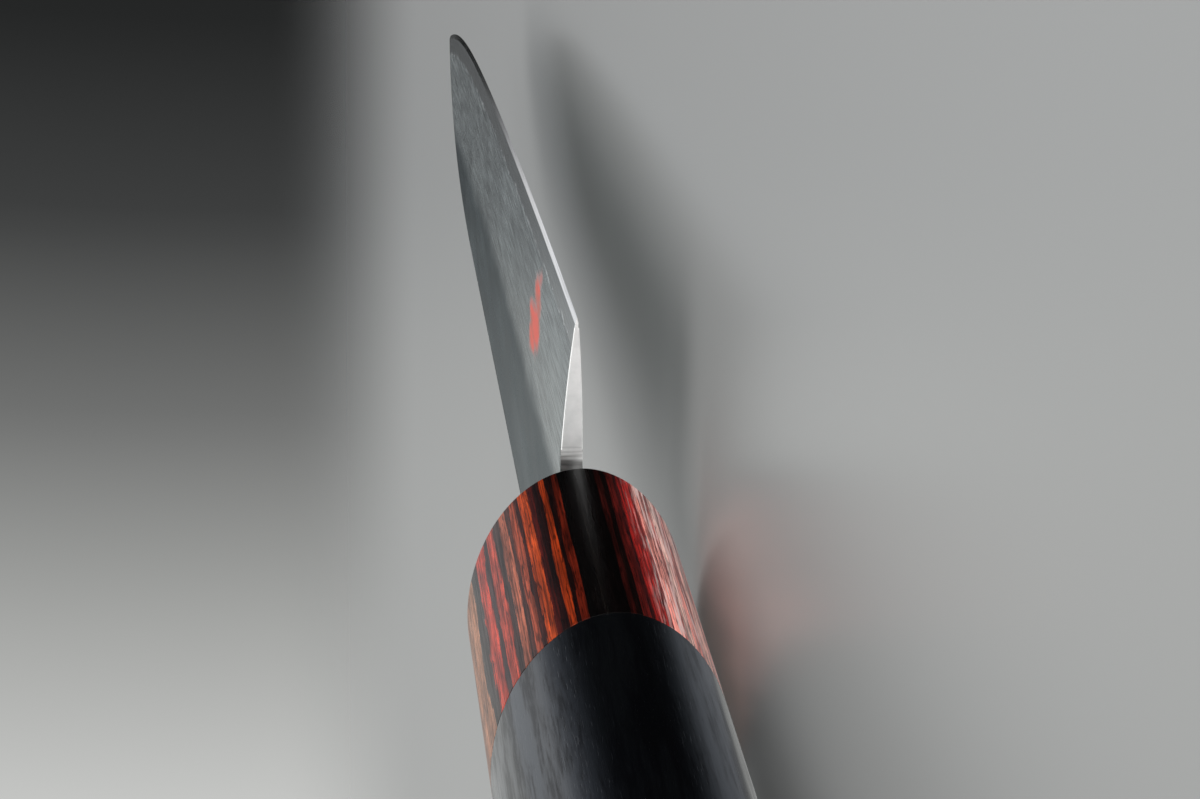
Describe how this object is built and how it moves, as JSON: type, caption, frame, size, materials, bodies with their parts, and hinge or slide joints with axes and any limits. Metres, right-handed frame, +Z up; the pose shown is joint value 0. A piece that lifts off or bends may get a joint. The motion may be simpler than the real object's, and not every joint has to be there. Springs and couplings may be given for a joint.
{
  "type": "petty knife",
  "caption": "Small kitchen utility knife for paring, trimming and slicing: a thin blade ground on both sides, in an oval wooden handle with a laminated ferrule.",
  "frame": {"origin": "middle of the knife's footprint on the surface it lies on, under the neck", "axes": "+X towards the tip, -Y towards the cutting edge, +Z up, square to the blade's side that faces up"},
  "size_m": [0.2776, 0.0352, 0.0187],
  "materials": {
    "laminated_steel": "satin ground faces over a dark forged flat, bright cutting bevel",
    "red_laminate": "red, orange and black veneers set in resin, polished to a low sheen",
    "black_wood": "black, satin, fine open pores",
    "pale_wood": "plain turned hardwood, hidden",
    "cured_resin": "cast resin, hidden"
  },
  "bodies": {
    "root": {"blade": "laminated_steel", "ferrule": "red_laminate", "handle_body": "black_wood", "dowel": "pale_wood", "tang_bedding": "cured_resin"}
  },
  "joints": []
}
